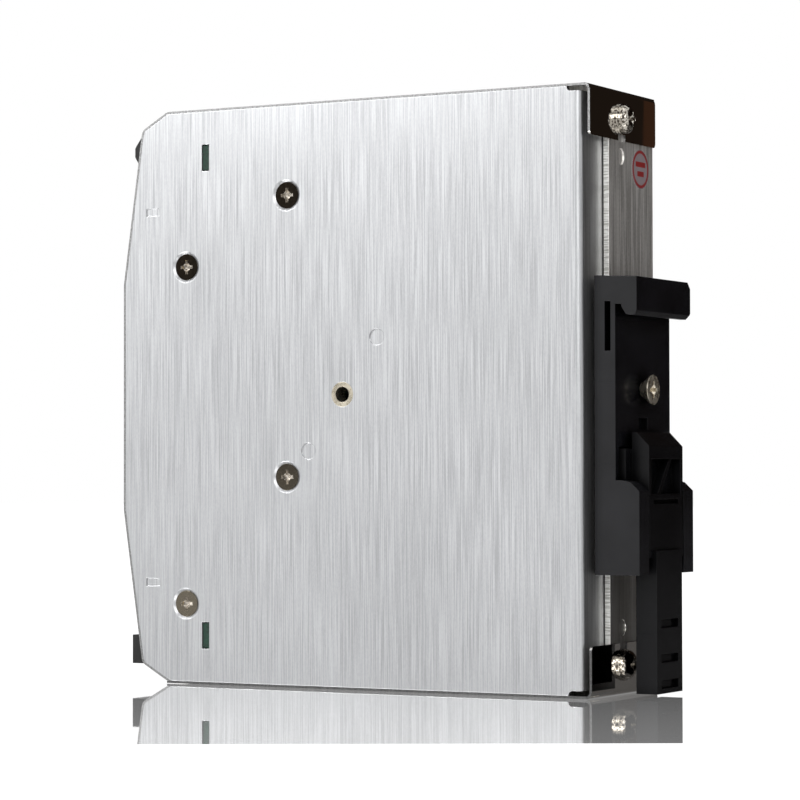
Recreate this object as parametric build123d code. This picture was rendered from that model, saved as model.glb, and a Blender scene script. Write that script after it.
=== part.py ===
from build123d import *
from math import atan2, cos, radians, tan
import os

# Slim power supply in a folded sheet case, with a snap clip for 35 mm rail on its rear.
# X runs across the case, with the removable cover on +X. Y runs from the front to the rail.
# Z is up. Millimetres. The origin is under the middle of the whole, on what it stands on.

# Case
case_width = 33.0
case_height = 125.2
case_depth = 113.65           # front to the rear plate's outer face
sheet = 1.2                   # cover and chassis
bend = 1.3                    # outer radius of their folds
lap_gap = 0.2                 # between the cover's flange and the rear plate over it
front_flat = 49.8             # height of the upright middle of the front
slant_setback = 4.9
upper_corner = (11.5, 3.8)    # set back and drop of the chamfer
lower_corner = (12.3, 4.2)
plate_edge_x = 6.25           # free edge of the rear plate
flange_clear = 0.6            # cover's rear flange to the screws beside it
corner_notch = 3.2
notch_drop = 1.5
notch_radius = 0.9

# Thin sheet folded round the top, the front and the bottom chamfer, and the bottom plate
wrap_sheet = 0.5
wrap_bend = 2.0               # outer radius of the folds at the front
flange_bend = 1.0             # outer radius of the folds to the rear flanges
flange_round = 1.6            # outer far corners of the rear flanges
wrap_lap = 7.0                # wrap over the bottom plate
wrap_flange = 10.6
flange_margins = (0.6, 0.4)   # flange inside the case's width, far and near
flange_corner = 1.0
flange_slot = 3.5
window_gap = 0.3              # round a terminal block
window_end = 0.5              # window past the chamfer
vent_rows = 15
vent_pitch = 5.6
vent_start = 8.0              # first row, past the chamfer
vent_spread = 7.2
vent_length = 11.0
vent_width = 2.6

# Rail clip: its heights count from the middle of the case
rail_height = 35.0
rail_lip = 1.3                # room for the rail's rim behind hook and nose
clip_width = 26.8
clip_top = 23.45
clip_bottom = -37.6
face_reach = 4.7              # rail face, out from the rear plate
hook_reach = 9.5
hook_round = (0.45, 0.25)     # crown below the clip's top, at the hook's end and over the rail face
hook_drop = 2.3               # lip of the hook below the top of its pocket
hook_nose = ((0.15, 1.6), (1.1, 0.2), (1.8, 0.0))  # lip: out from the pocket, above its lower side
hook_bevel = (0.45, 0.9)      # deep and high
hook_corner = 1.9             # square that bevels the hook's far corners
hook_gap = (2.35, 3.65)       # slit that lets the hook's wall spring, from the rear plate
hook_gap_drop = 9.5
block_reach = 9.95
block_top = -18.4
shoulder = ((1.9, 0.05), (3.4, 0.45), 2.2)  # round on the block: out and down, and its drop at the end
slide_fit = 0.3               # clearance round the latch
latch_travel = 9.0
stop_gap = 0.6                # under the ledges at the end of the travel
peg = 4.0
peg_heights = (-28.6, 16.4)
peg_fit = 0.15
sight_notch = (4.4, -7.9, -5.5)  # width, and its two heights

# Latch, heights as for the clip, but the tail's from the bottom
ledge_top = -11.9
ledge_width = 22.8
ledge_thickness = 3.0
ledge_length = 14.1
ledge_tip = 1.2
nose_width = 16.7
nose_top = -8.5
nose_flat = 1.0
nose_reach = 9.85
nose_slope = 2.9
nose_bottom = -34.2
nose_recess = (-21.2, -14.0)
nose_recess_depth = 2.0
nose_line = (-23.2, -22.3)
nose_rim = 1.1
rib_width = 1.2
rib_lean = -38
tail_width = 12.5
tail_reach = 10.55
tail_depth = 4.7
tail_bottom = 0.6
tail_wall = 1.5
grip_heights = (14.9, 7.8, 2.5)
grip_width = 8.4
grip_height = 1.7
grip_depth = 0.8
spring_radius = 1.1
spring_wire = 0.22
spring_turns = 9
spring_cap = 2.6              # latch above its spring
spring_gap = 0.3

# Screws and fittings of the case. Pairs stand behind the front, above its lower and below its upper end
sink_screws = (42.1, 45.0, 19.7)
post_screws = (16.4, 17.4, 34.3)
screw_head = 5.6
screw_shank = 3.0
screw_length = 6.0
screw_tip = 0.5
screw_land = 0.15
screw_sink = 0.2              # head below the cover's face
cone_gap = 0.05
hole_gap = 0.2                # round a shank
dimple_ring = 6.8
post_width = 3.0              # hexagon, centre to corner
post_stud = 4.2
insert_back, insert_rise = 55.95, -0.1  # behind the front, above the middle
insert_outer = 5.3
insert_bore = 3.3
insert_length = 4.0
locating_offset = (8.4, 12.0)  # dents on both sides of the insert
dent_width = 3.5
dent_depth = 0.25
plate_dent_end = 13.7         # dents in the rear plate, from its ends
plate_dent_x = 0.4
lance_back = 7.75
lance_end = 21.95
lance_size = (3.5, 1.7)
tab_slot_back = 21.45
tab_slot_end = 10.6
tab_slot_width = 1.85
tab_slot_length = 5.8
tab_gap = 0.25
pan_head = 6.0
pan_rise = 2.0
pan_length = 5.0
washer = (6.6, 0.45)          # under the pan heads: across and thick
pan_screw_x = 0.9
pan_screw_inset = 6.1
clip_screw_rise = 0.3         # above the middle
clip_screw_proud = 2.4
clip_screw_head = 6.2
small_head = 5.4
small_rise = 1.8
small_length = 4.2
sticker_x, sticker_end = -9.2, 15.6
sticker_radius = 4.1
sticker_thickness = 0.1

# Terminal blocks: ways, pitch, width, block's end from the case's end, height, face from the front
output_ways, output_pitch, output_width, output_rise, output_height, output_set = 4, 6.0, 24.4, 4.2, 9.4, 0.1
input_ways, input_pitch, input_width, input_rise, input_height, input_set = 3, 8.0, 26.0, 3.8, 9.5, 0.0
input_bar = 6.3
output_nose = 1.9             # flat of the output block's bar
nose_step = (0.35, 0.6)       # small bevels beside it, deep and high
nose_back = (2.1, 2.85)       # where the large bevels end, back from the bar's face
output_screw_drop = 3.85
face_set = 0.4                # block's face behind the wrap's outer face
hole_wall = 1.7
wire_hole_depth = 4.8
way_wall = 1.3                # between two wire holes
cage_wall = 0.45
cage_floor = 1.2
cage_set = 0.6
terminal_head = 4.2
terminal_shank = 2.6
terminal_rise = 1.5
terminal_recess = 2.2
terminal_gap = 0.15
recess_gap = 0.3
shank_gap = 0.1
driver_slot = (0.7, 0.65)     # wide and deep

# Boards and controls
board = 1.6
board_gap = 3.2               # main board above the far side
main_back = 23.7              # main board behind the front
main_room = 6.5               # and ahead of the rear plate
main_end = 6.0
terminal_board_end = 4.6
film_set = 0.4
film = 0.4
film_hole = 3.4
front_standoffs = (29.1, 12.0, 13.2)    # as the pairs of screws
rear_standoffs = (101.15, 12.0, 13.2)
component_gap = 0.2
trim_rise = 15.4              # above the middle
trim_body = (6.8, 5.0)        # square and deep
trim_rotor = 1.5
trim_fit = 0.08
trim_seat = 2.0
shaft = 4.4
shaft_slot = (1.0, 1.1)
lamp_rise = 7.4
lamp = 3.0
lamp_length = 4.0
lamp_rim = 0.4
pipe_gap = 0.1
pipe_round = 0.6
control_set = 0.1             # shaft and light pipe behind the wrap's outer face

# Heatsink, an angle along the cover, and what it cools
sink_back = (36.0, 48.0)      # behind the front
sink_ends = (38.0, 13.2)      # above the lower and below the upper end
sink_web = 3.0
pad = 0.5
switch_height, rectifier_drop = 58.0, 33.2
device_lift = 6.0
device_size = (9.2, 4.4, 10.0)   # plastic body
device_tab = (6.2, 1.3)
device_hole = 3.2             # from the tab's top
pin_pitch = 2.54
pin = 0.8

# Components of the main board. Spots are behind the front or ahead of the rear plate, then the height
bulk_spot, bulk_length = (33.5, 8.5), 35.0     # ahead
bulk_room = 3.0                                # cover above it
bulk_pins = 3.75
small_can_rows = ((43.5, 12.7), (32.5, 12.7), (43.5, 23.7))  # ahead, below the upper end
small_can = (10.0, 20.0)
choke_spot, choke_size, choke_turns = (35.1, 24.0), (20.0, 9.0, 11.0), 16  # behind; outer, hole, height
inductor_spot, inductor_size, inductor_turns = (20.0, 24.2), (18.0, 8.0, 11.0), 18  # ahead, below the end
turn_gap = (0.9, 0.7)          # groove between two turns, deep and wide
transformer_ahead = 31.5
core_size = (11.0, 32.0, 34.0)
core_middle, core_limb = 10.0, 4.0
winding_thick = 20.0
winding_gap = 0.2
fuse_spot, fuse_length, fuse_radius = (13.5, 32.0), 20.0, 2.6      # ahead
fuse_holder = (6.0, 6.4, 4.6)
film_capacitor_size = (15.0, 7.0, 16.0)
film_capacitor_drop = 11.0     # below the transformer's middle
film_capacitor_gap = 1.0       # to the transformer's core
bridge_box = ((51.0, 54.8), (20.0, 38.0), (4.0, 19.0))  # behind, height, above the board
bridge_pitch, bridge_margin = 4.4, 2.0
chip_box = ((27.0, 31.0), (66.0, 71.0), (0.15, 1.7))
chip_pitch, chip_margin, chip_legs = 1.27, 0.6, 1.2
coupler_box = ((26.4, 32.8), (84.0, 88.6), (0.5, 3.9))
coupler_pitch, coupler_margin, coupler_leg = 2.2, 0.9, (0.6, 2.0)

# Worked out
overall_depth = case_depth + tail_reach
front_y = -overall_depth / 2
plate_y = front_y + case_depth
half = case_width / 2
mid_z = case_height / 2
inner = half - sheet
cover_edge_x = pan_screw_x + screw_shank / 2 + flange_clear
flange_left, flange_right = flange_margins[0] - half, half - flange_margins[1]
cover_rear = plate_y - sheet - lap_gap
cover_cone = sheet - screw_sink - screw_land - cone_gap
face_y = plate_y + face_reach
lip_reach = face_reach + rail_lip
pocket_top = rail_height / 2
latch_low = ledge_top - ledge_length
spring_seat = latch_low - latch_travel - stop_gap
spring_top = ledge_top - spring_cap
spring_room = spring_radius + spring_wire + spring_gap
clip_screw_z = mid_z + clip_screw_rise
insert_spot = (front_y + insert_back, mid_z + insert_rise)
tab_slot_y = front_y + tab_slot_back
board_x = -inner + board_gap
top_side = board_x + board
board_front = tab_slot_y - board / 2
main_front, main_rear = front_y + main_back, plate_y - main_room
main_low, main_high = main_end, case_height - main_end
trim_z, lamp_z = mid_z + trim_rise, mid_z + lamp_rise
sink_front, sink_rear = (front_y + back for back in sink_back)
sink_low, sink_high = sink_ends[0], case_height - sink_ends[1]
cooled = {"switch_transistor": switch_height, "output_rectifier": case_height - rectifier_drop}
bulk_diameter = inner - top_side - bulk_room
inductor_z = case_height - inductor_spot[1]
transformer_y = plate_y - transformer_ahead
transformer_z = (bulk_spot[1] + bulk_length + inductor_z - inductor_size[0] / 2) / 2

os.makedirs("parts", exist_ok=True)


def save(shape, node):
    shape.label = node
    export_step(shape, f"parts/{node}.step")


def group(shapes, node):
    save(Compound(children=list(shapes)), node)


def block(x, y, z):
    """A box from its three ranges."""
    size = [b - a for a, b in (x, y, z)]
    middle = [(a + b) / 2 for a, b in (x, y, z)]
    return Pos(*middle) * Box(*size)


def around(middle, size):
    """The range of a size about its middle."""
    return (middle - size / 2, middle + size / 2)


def drawn(face, x0, x1):
    """A face in Y and Z, drawn out along X."""
    return extrude(Plane.YZ.offset(x0) * face, x1 - x0)


def across(points, x0, x1):
    return drawn(make_face(Polyline(*points, close=True)), x0, x1)


def rod(axis, place, radius, length):
    """A cylinder that starts at a place and runs along an axis."""
    turn = {"+X": Rot(0, 90, 0), "-X": Rot(0, -90, 0), "+Y": Rot(-90, 0, 0), "-Y": Rot(90, 0, 0)}[axis]
    return Pos(*place) * turn * Pos(0, 0, length / 2) * Cylinder(radius, length)


def turned(points):
    """A solid of revolution about Z from an outline in X and Z."""
    return revolve(Plane.XZ * make_face(Polyline(*points, close=True)), Axis.Z)


def meet(p, q, r, s):
    """Where the line p-q crosses the line r-s."""
    a, b = (q[0] - p[0], q[1] - p[1]), (s[0] - r[0], s[1] - r[1])
    t = ((r[0] - p[0]) * b[1] - (r[1] - p[1]) * b[0]) / (a[0] * b[1] - a[1] * b[0])
    return (p[0] + t * a[0], p[1] + t * a[1])


def aside(p, q, shift):
    """The line p-q moved to its left by a shift."""
    run = ((q[0] - p[0]) ** 2 + (q[1] - p[1]) ** 2) ** 0.5
    step = (-(q[1] - p[1]) / run * shift, (q[0] - p[0]) / run * shift)
    return tuple((v[0] + step[0], v[1] + step[1]) for v in (p, q))


def inset(points, depth):
    """An open path moved to its left by a depth."""
    lines = [aside(p, q, depth) for p, q in zip(points, points[1:])]
    return [lines[0][0]] + [meet(*a, *b) for a, b in zip(lines, lines[1:])] + [lines[-1][1]]


def rounded(points, radii):
    """Edges of an open path with an arc at each corner."""
    edges, start = [], Vector(*points[0])
    for before, corner, after, radius in zip(points, points[1:], points[2:], radii):
        corner = Vector(*corner)
        into, away = (corner - Vector(*before)).normalized(), (Vector(*after) - corner).normalized()
        turn = radians(into.get_angle(away)) / 2
        reach = radius * tan(turn)
        middle = corner + (away - into).normalized() * radius * (1 / cos(turn) - 1)
        edges += [Line(start, corner - into * reach),
                  ThreePointArc(corner - into * reach, middle, corner + away * reach)]
        start = corner + away * reach
    return edges + [Line(start, Vector(*points[-1]))]


def folded(points, thickness, radii):
    """Section of a folded sheet, from the path of its outer face and the radii of its folds."""
    outer = rounded(points, radii)
    inside = rounded(inset(points, thickness), [radius - thickness for radius in radii])
    ends = [Line(outer[-1] @ 1, inside[-1] @ 1), Line(inside[0] @ 0, outer[0] @ 0)]
    return make_face(outer + ends + inside)


# The case's outline at its front: from the upright middle up and down to the ends
front_high = (front_y, mid_z + front_flat / 2)
high_slant = (front_y + slant_setback, case_height - upper_corner[1])
high_chamfer = (front_y + upper_corner[0], case_height)
front_low = (front_y, mid_z - front_flat / 2)
low_slant = (front_y + slant_setback, lower_corner[1])
low_chamfer = (front_y + lower_corner[0], 0)
slant_angle = atan2(slant_setback, high_slant[1] - front_high[1])


def slant_y(z):
    """Front of the case at a height on the upper slant."""
    return front_y + (z - front_high[1]) * tan(slant_angle)


def side_shape():
    """What a side may fill: the case's outline, less the thin sheet round it."""
    outline = [(plate_y + 1, case_height), high_chamfer, high_slant, front_high, front_low, low_slant,
               low_chamfer, (plate_y + 1, 0)]
    path = inset(outline, wrap_sheet)
    edges = rounded(path, [wrap_bend - wrap_sheet] * 6)
    return drawn(make_face(edges + [Line(edges[-1] @ 1, edges[0] @ 0)]), -half - 1, half + 1)


def folded_side(sign, rear, edge):
    """A side and its rear flange: one folded sheet, seen from above, drawn up."""
    path = [(sign * half, front_y), (sign * half, rear), (edge, rear)]
    section = folded(path if sign > 0 else path[::-1], sheet, [bend])
    return extrude(section, case_height) & side_shape()


def tab_slots(x0, x1):
    """Slots for the terminal board's tabs, in both halves of a side."""
    for way in (-1, 1):
        yield block((x0, x1), around(tab_slot_y, tab_slot_width),
                    around(mid_z + way * (mid_z - tab_slot_end), tab_slot_length))


def phillips(width, depth):
    """The cross recess of a screw, cut from the top of its head at Z 0."""
    arm = width * 0.22
    cross = Box(width, arm, depth * 2) + Box(arm, width, depth * 2)
    return cross + Cone(0.1, width * 0.32, depth * 1.3, align=(Align.CENTER, Align.CENTER, Align.MAX))


def countersunk_screw(head, shank, length, cone):
    """A flat-headed screw that points down from Z 0."""
    screw = turned([(0, 0), (head / 2, 0), (head / 2, -screw_land), (shank / 2, -screw_land - cone),
                    (shank / 2, -length + screw_tip), (shank / 2 - screw_tip, -length), (0, -length)])
    return screw - phillips(head * 0.55, 1.0)


def pan_screw(head, shank, length, rise):
    """A round-headed screw, its head's underside at Z 0."""
    path = [(0, -length), (shank / 2 - screw_tip, -length), (shank / 2, -length + screw_tip),
            (shank / 2, 0), (head / 2, 0), (head / 2, rise * 0.45)]
    dome = ThreePointArc(path[-1], (head * 0.36, rise * 0.87), (head * 0.12, rise))
    edges = [Line(a, b) for a, b in zip(path, path[1:])] + [dome]
    edges += [Line(dome @ 1, (0, rise)), Line((0, rise), path[0])]
    screw = revolve(Plane.XZ * make_face(edges), Axis.Z)
    return screw - Pos(0, 0, rise) * phillips(head * 0.55, rise * 0.6)


def both_ends(back, low, drop):
    """Two spots at one distance behind the front, near the lower and the upper end."""
    return [(front_y + back, low), (front_y + back, case_height - drop)]


cover_screw_spots = both_ends(*sink_screws) + both_ends(*post_screws)
standoff_spots = both_ends(*front_standoffs) + both_ends(*rear_standoffs)
facing_side = Rot(0, 90, 0)
facing_rear = Rot(-90, 0, 0)
facing_front = Rot(90, 0, 0)
ways_up = (-1, 1)


def make_side_cover():
    """Removable side with its rear flange, which runs under the rear plate."""
    cover = folded_side(1, cover_rear, cover_edge_x)
    inside = (cover_rear - corner_notch, case_height - notch_drop)
    notch = [(cover_rear + 1, inside[1]), inside, (inside[0], case_height + 1)]
    edges = rounded(notch, [notch_radius])
    corner = (cover_rear + 1, case_height + 1)
    edges += [Line(notch[-1], corner), Line(corner, notch[0])]
    cutter = drawn(make_face(edges), -half, half + 1)
    cover -= [cutter, cutter.mirror(Plane.XY.offset(mid_z))]
    land = screw_sink + screw_land
    seat = turned([(0, 1), (dimple_ring / 2, 1), (dimple_ring / 2, 0), (screw_head / 2 + cone_gap, -land),
                   (screw_shank / 2 + hole_gap, -land - cover_cone), (screw_shank / 2 + hole_gap, -sheet * 2),
                   (0, -sheet * 2)])
    for y, z in cover_screw_spots:
        cover -= Pos(half, y, z) * facing_side * seat
    cover -= rod("+X", (inner - 1, *insert_spot), insert_outer / 2, sheet + 2)
    for slot in tab_slots(inner - 1, half + 1):
        cover -= slot
    for way in ways_up:
        dent = [spot + way * offset for spot, offset in zip(insert_spot, locating_offset)]
        cover -= rod("-X", (half, *dent), dent_width / 2, dent_depth)
        cover -= block((half - dent_depth, half + 1), around(front_y + lance_back, lance_size[0]),
                       around(mid_z + way * (mid_z - lance_end), lance_size[1]))
    save(cover, "side_cover")


def make_chassis():
    """Far side and rear plate, which carries the clip and the thin sheets' flanges."""
    chassis = folded_side(-1, plate_y, plate_edge_x)
    relief = case_height - wrap_sheet - flange_bend
    corner = block((-half - 1, half + 1), (plate_y - flange_bend, plate_y + 1), (relief, case_height))
    chassis -= [corner, corner.mirror(Plane.XY.offset(mid_z))]
    for slot in tab_slots(-half - 1, -inner + 1):
        chassis -= slot
    for y, z in standoff_spots + cover_screw_spots[2:]:
        chassis -= rod("+X", (-half - 1, y, z), post_stud / 2, sheet + 2)
    holes = [(pan_screw_x, pan_screw_inset, screw_shank / 2), (0, clip_screw_z, screw_shank / 2),
             (pan_screw_x, case_height - pan_screw_inset, screw_shank / 2)]
    for x, z, radius in holes + [(0, mid_z + z, peg / 2 + peg_fit) for z in peg_heights]:
        chassis -= rod("+Y", (x, plate_y - sheet - 1, z), radius, sheet + 2)
    for way in ways_up:
        spot = (plate_dent_x, plate_y, mid_z + way * (mid_z - plate_dent_end))
        chassis -= rod("-Y", spot, dent_width / 2, dent_depth)
    save(chassis, "chassis")


def flange_cutters():
    """What narrows an upper rear flange and opens the slot for its screw."""
    low, high = case_height - wrap_flange, case_height - flange_bend
    beyond = (plate_y - 0.01, plate_y + wrap_sheet + 1)
    yield block((-half - 1, flange_left), beyond, (low - 1, high))
    yield block((flange_right, half + 1), beyond, (low - 1, high))
    x, z = flange_left + flange_round, case_height - flange_round
    corner = block((-half - 1, x), beyond, (z, case_height + 1))
    yield corner - rod("+Y", (x, beyond[0], z), flange_round, wrap_sheet + 1)
    centre = case_height - pan_screw_inset
    yield block(around(pan_screw_x, flange_slot), beyond, (low - 1, centre))
    yield rod("+Y", (pan_screw_x, beyond[0], centre), flange_slot / 2, wrap_sheet + 1)


def flange_corners(solid, z):
    """The lower corners of a rear flange, which ends at a height."""
    for edge in solid.edges().filter_by(Axis.Y):
        x, _, height = edge.center()
        if abs(height - z) < 0.01 and min(abs(x - flange_left), abs(x - flange_right)) < 0.01:
            yield edge


def window(width, rise, height, chamfer):
    """Opening round an upper terminal block, from the slant past the chamfer."""
    wide = width / 2 + window_gap
    return block((-wide, wide), (front_y - 1, chamfer[0] + window_end),
                 (case_height - rise - height - window_gap, case_height + 1))


def vents(chamfer):
    """Rows of slots with round ends across the top or the bottom, from the end of its chamfer."""
    slot = extrude(SlotOverall(vent_length, vent_width), wrap_sheet * 2, both=True)
    for row in range(vent_rows):
        for way in ways_up:
            yield Pos(way * vent_spread, chamfer[0] + vent_start + row * vent_pitch, chamfer[1]) * slot


def make_wrap():
    """One thin sheet over the top, down the front and round the bottom chamfer."""
    rear = plate_y + wrap_sheet
    lap = meet(low_slant, low_chamfer, (0, wrap_sheet), (1, wrap_sheet))
    path = [(rear, case_height - wrap_flange), (rear, case_height), high_chamfer, high_slant, front_high,
            front_low, low_slant, lap, (lap[0] + wrap_lap, wrap_sheet)]
    wrap = drawn(folded(path, wrap_sheet, [flange_bend] + [wrap_bend] * 6), -half, half)

    # The lap lies between the sides, over the bottom plate
    sides = side_shape() & block((-half - 1, half + 1), (lap[0] - wrap_bend, plate_y), (0, slant_setback))
    wrap -= sides - block(around(0, 2 * (inner - component_gap)), (front_y, plate_y + 1), (-1, case_height))
    wrap -= list(flange_cutters())
    wrap = fillet(list(flange_corners(wrap, case_height - wrap_flange)), flange_corner)
    windows = [window(output_width, output_rise, output_height, high_chamfer), input_window()]
    wrap -= windows + list(vents(high_chamfer))
    wrap -= rod("+Y", (0, front_y - 1, trim_z), shaft / 2 + recess_gap, wrap_sheet + 2)
    wrap -= rod("+Y", (0, front_y - 1, lamp_z), lamp / 2 + pipe_gap, wrap_sheet + 2)
    save(wrap, "wrap_cover")


def input_window():
    return window(input_width, input_rise, input_height, low_chamfer).mirror(Plane.XY.offset(mid_z))


def make_bottom_plate():
    """Bottom sheet with its rear flange: it starts where the wrap's chamfer ends."""
    rear = plate_y + wrap_sheet
    front = meet(low_slant, low_chamfer, (0, wrap_sheet), (1, wrap_sheet))
    path = [(front[0], 0), (rear, 0), (rear, wrap_flange)]
    plate = drawn(folded(path, wrap_sheet, [flange_bend]), -half, half)
    plate -= [cutter.mirror(Plane.XY.offset(mid_z)) for cutter in flange_cutters()]
    plate = fillet(list(flange_corners(plate, wrap_flange)), flange_corner)
    plate -= [input_window()] + list(vents(low_chamfer))
    save(plate, "bottom_plate")


def output_face():
    """Section of the output block: a bar with large bevels, on a body that reaches the board."""
    top = case_height - output_rise
    low = top - output_height
    nose, middle = front_y + output_set, top - output_screw_drop
    flat, step = output_nose / 2, nose_step
    points = [(board_front, top), (nose + nose_back[0], top), (nose + step[0], middle + flat + step[1]),
              (nose, middle + flat), (nose, middle - flat), (nose + step[0], middle - flat - step[1]),
              (nose + nose_back[1], low), (board_front, low)]
    return points, nose, middle, top, low


def input_face():
    """Section of the input block, as seen turned over: a square bar at its end."""
    top = case_height - input_rise
    low, under = top - input_height, top - input_bar
    nose = front_y + input_set
    points = [(board_front, top), (nose, top), (nose, under), (slant_y(under) + face_set, under),
              (slant_y(low) + face_set, low), (board_front, low)]
    return points, nose, (top + under) / 2, top, low


def make_terminal(name, ways, pitch, width, face, upper):
    """A terminal block with its wire holes, clamp cages and clamp screws."""
    points, nose, screw_z, top, low = face
    body = across(points, -width / 2, width / 2)
    wide = pitch - way_wall
    hole = (slant_y(top) + hole_wall, slant_y(top) + hole_wall + wire_hole_depth)
    shell = (hole[0] - cage_wall, hole[1] + cage_wall)
    place = (lambda s: s) if upper else (lambda s: s.mirror(Plane.XY.offset(mid_z)))
    cages = []
    for way in range(ways):
        x = (way - (ways - 1) / 2) * pitch
        body -= block(around(x, wide + 2 * cage_wall), shell, (low + cage_floor, top + 1))
        cage = block(around(x, wide + 2 * cage_wall), shell, (low + cage_floor, top - cage_set))
        cage -= block(around(x, wide), hole, (low, top))
        seat = nose + terminal_recess
        body -= rod("+Y", (x, nose - 1, screw_z), terminal_head / 2 + recess_gap, terminal_recess + 1)
        bore = rod("+Y", (x, nose, screw_z), terminal_shank / 2 + shank_gap, hole[0] - nose + hole_gap)
        body -= bore
        cages.append(place(cage - bore))
        screw = pan_screw(terminal_head, terminal_shank, hole[0] - seat + hole_gap, terminal_rise)
        screw -= Pos(0, 0, terminal_rise) * Box(terminal_head + 1, driver_slot[0], driver_slot[1] * 2)
        screw = Pos(x, seat - terminal_gap, screw_z) * facing_front * screw
        save(place(screw), f"{name}_screw_{way + 1}")
    save(place(body), f"{name}_terminal")
    group(cages, f"{name}_cages")


def make_fasteners():
    screw = countersunk_screw(screw_head, screw_shank, screw_length, cover_cone)
    group([Pos(half - screw_sink, y, z) * facing_side * screw for y, z in cover_screw_spots], "cover_screws")
    across_washer, thick = washer
    pan = Pos(0, 0, thick) * pan_screw(pan_head, screw_shank, pan_length, pan_rise)
    pan += Cylinder(across_washer / 2, thick, align=(Align.CENTER, Align.CENTER, Align.MIN))
    ends = (pan_screw_inset, case_height - pan_screw_inset)
    group([Pos(pan_screw_x, plate_y + wrap_sheet, z) * facing_rear * pan for z in ends], "flange_screws")
    length = clip_screw_proud + face_reach + sheet + screw_tip * 3
    screw = countersunk_screw(clip_screw_head, screw_shank, length, clip_screw_proud - screw_land)
    save(Pos(0, face_y + clip_screw_proud, clip_screw_z) * facing_rear * screw, "clip_screw")
    insert = rod("-X", (half, *insert_spot), insert_outer / 2, insert_length)
    insert -= rod("-X", (half + 1, *insert_spot), insert_bore / 2, insert_length + 2)
    save(insert, "threaded_insert")
    spot = (sticker_x, plate_y, case_height - sticker_end)
    save(rod("+Y", spot, sticker_radius, sticker_thickness), "check_sticker")


def out(reach):
    """Y of what stands out from the rear plate."""
    return plate_y + reach


def clip_profile():
    """The clip's base from the side: hook, rail face and the shoulder of its guide."""
    (mid_reach, mid_drop), (end_reach, end_drop), step = shoulder
    top = ThreePointArc((out(face_reach), block_top), (out(face_reach + mid_reach), block_top - mid_drop),
                        (out(face_reach + end_reach), block_top - end_drop))
    lip, deep, high = pocket_top - hook_drop, *hook_bevel
    hook = [(face_reach, block_top), (face_reach, pocket_top), (lip_reach, pocket_top)]
    hook += [(lip_reach + away, lip + rise) for away, rise in hook_nose]
    hook += [(hook_reach - deep, lip), (hook_reach, lip + high), (hook_reach, clip_top - hook_round[0])]
    points = [(out(reach), z) for reach, z in hook]
    over_face = (out(face_reach), clip_top - hook_round[1])
    crown = ThreePointArc(points[-1], over_face, (plate_y, clip_top))
    edge = out(block_reach)
    guide = [crown @ 1, (plate_y, clip_bottom), (edge, clip_bottom), (edge, block_top - step), top @ 1]
    edges = [Line(a, b) for path in (guide, points) for a, b in zip(path, path[1:])]
    return make_face(edges + [top, crown])


def make_clip_base():
    """Moulded base with the fixed hook and the grooves that the latch runs in, about the middle."""
    side = clip_width / 2
    base = drawn(clip_profile(), -side, side)

    # Slit behind the hook's pocket, so that its wall can spring
    slit = [out(reach) for reach in hook_gap]
    base -= block((-side - 1, side + 1), slit, (pocket_top - hook_gap_drop, pocket_top + component_gap * 3))

    # Bevelled far corners of the hook
    bevel = Rot(0, 45, 0) * Box(hook_corner, hook_reach - face_reach + 2, hook_corner)
    for z in (clip_top - hook_round[0], pocket_top - hook_drop):
        base -= Pos(-side, out(hook_reach) - hook_reach / 2 + face_reach / 2 + 1, z) * bevel

    # Groove for the latch's ledges, slot for its stem, and the floor under its spring
    groove = ledge_width / 2 + slide_fit
    deep, shallow = out(lip_reach) - ledge_thickness - slide_fit, out(lip_reach) + lap_gap
    base -= block((-groove, groove), (deep, shallow), (spring_seat, ledge_top + slide_fit))
    stem = nose_width / 2 + slide_fit
    beyond = out(block_reach) + 1
    base -= block((-stem, stem), (shallow - 2 * lap_gap, beyond), (clip_bottom - 1, block_top + 1))
    base -= block((-groove, groove), (deep, beyond), (block_top, ledge_top + slide_fit))
    base -= block(around(0, sight_notch[0]), (face_y - 1, face_y + 1), sight_notch[1:])

    # Screw hole and the pegs that keep the base from turning
    base -= rod("+Y", (0, plate_y - 1, clip_screw_rise), screw_shank / 2 + peg_fit, face_reach + 2)
    for z in peg_heights:
        base += rod("-Y", (0, plate_y, z), peg / 2, sheet)
    save(Pos(0, 0, mid_z) * base, "clip_base")


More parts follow.
